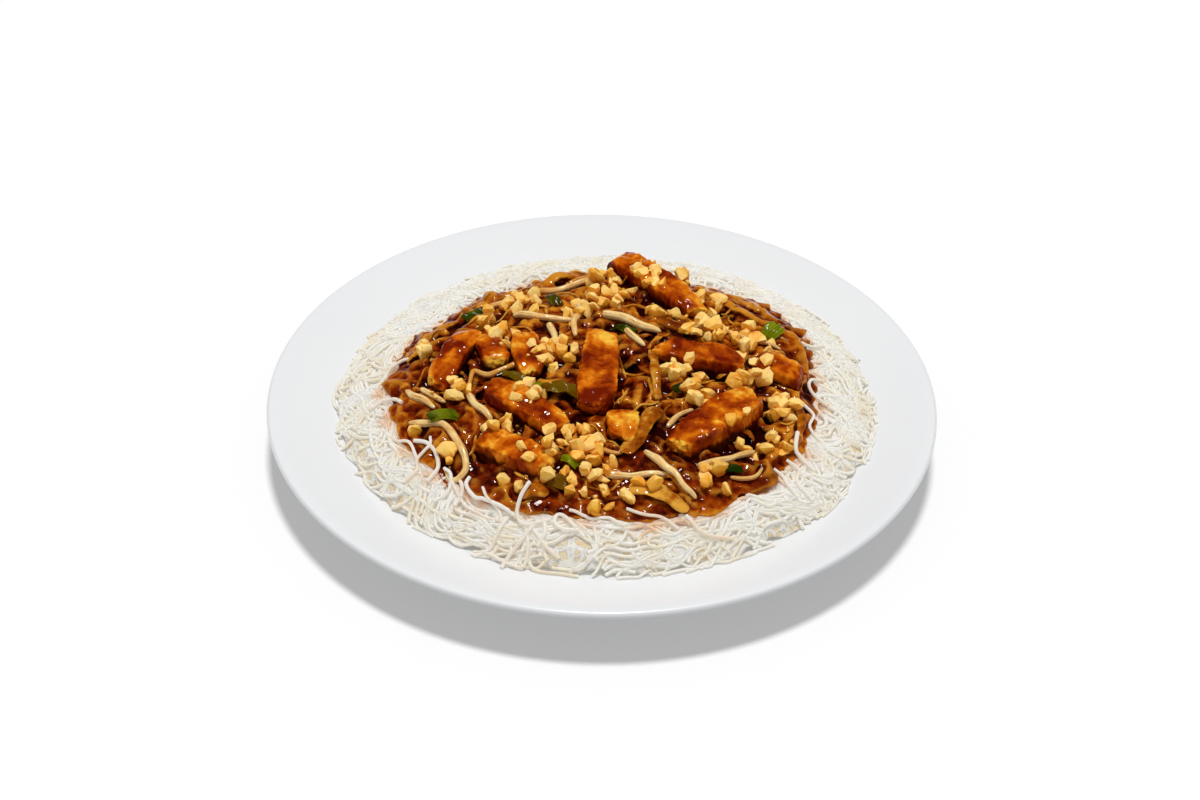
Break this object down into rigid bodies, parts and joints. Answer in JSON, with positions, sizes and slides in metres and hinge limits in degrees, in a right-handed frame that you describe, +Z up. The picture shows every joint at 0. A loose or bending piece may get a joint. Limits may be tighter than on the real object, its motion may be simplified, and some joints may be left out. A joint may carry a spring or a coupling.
{
  "type": "plated noodle dish",
  "caption": "Plated noodle meal: saucy stir-fried chicken, bean sprouts and chopped peanuts heaped on white rice vermicelli, on a round white wide-rim plate.",
  "frame": {"origin": "middle of the plate on the surface it stands on, at the bottom centre of the whole", "axes": "+Z up; -Y towards the diner, the near side of the dish; +X to the diner's right"},
  "size_m": [0.3, 0.3, 0.0579],
  "materials": {
    "plate_glaze": "smooth white glaze",
    "noodle": "moist, slightly translucent cooked rice noodle",
    "sauce": "thick glossy red-brown sauce",
    "chicken": "fried chicken glazed with sauce",
    "sprout": "pale translucent bean sprout, lightly sauced",
    "onion": "soft amber onion coated in sauce",
    "spring_onion": "fresh green leaf, moist",
    "peanut": "chopped roasted peanut"
  },
  "bodies": {
    "root": {"plate": "plate_glaze", "noodle_bed": "noodle", "stir_fry_heap": "sauce", "chicken_1": "chicken", "chicken_2": "chicken", "chicken_3": "chicken", "chicken_4": "chicken", "chicken_5": "chicken", "chicken_6": "chicken", "chicken_7": "chicken", "chicken_8": "chicken", "chicken_9": "chicken", "chicken_10": "chicken", "chicken_11": "chicken", "sprout_1": "sprout", "sprout_2": "sprout", "sprout_3": "sprout", "sprout_4": "sprout", "sprout_5": "sprout", "sprout_6": "sprout", "sprout_7": "sprout", "sprout_8": "sprout", "sprout_9": "sprout", "sprout_10": "sprout", "sprout_11": "sprout", "sprout_12": "sprout", "sprout_13": "sprout", "sprout_14": "sprout", "sprout_15": "sprout", "sprout_16": "sprout", "sprout_17": "sprout", "sprout_18": "sprout", "sprout_19": "sprout", "onion_1": "onion", "onion_2": "onion", "onion_3": "onion", "onion_4": "onion", "onion_5": "onion", "onion_6": "onion", "spring_onion_1": "spring_onion", "spring_onion_2": "spring_onion", "spring_onion_3": "spring_onion", "spring_onion_4": "spring_onion", "spring_onion_5": "spring_onion", "spring_onion_6": "spring_onion", "spring_onion_7": "spring_onion", "spring_onion_8": "spring_onion", "spring_onion_9": "spring_onion", "spring_onion_10": "spring_onion", "spring_onion_11": "spring_onion", "spring_onion_12": "spring_onion"}
  },
  "joints": []
}
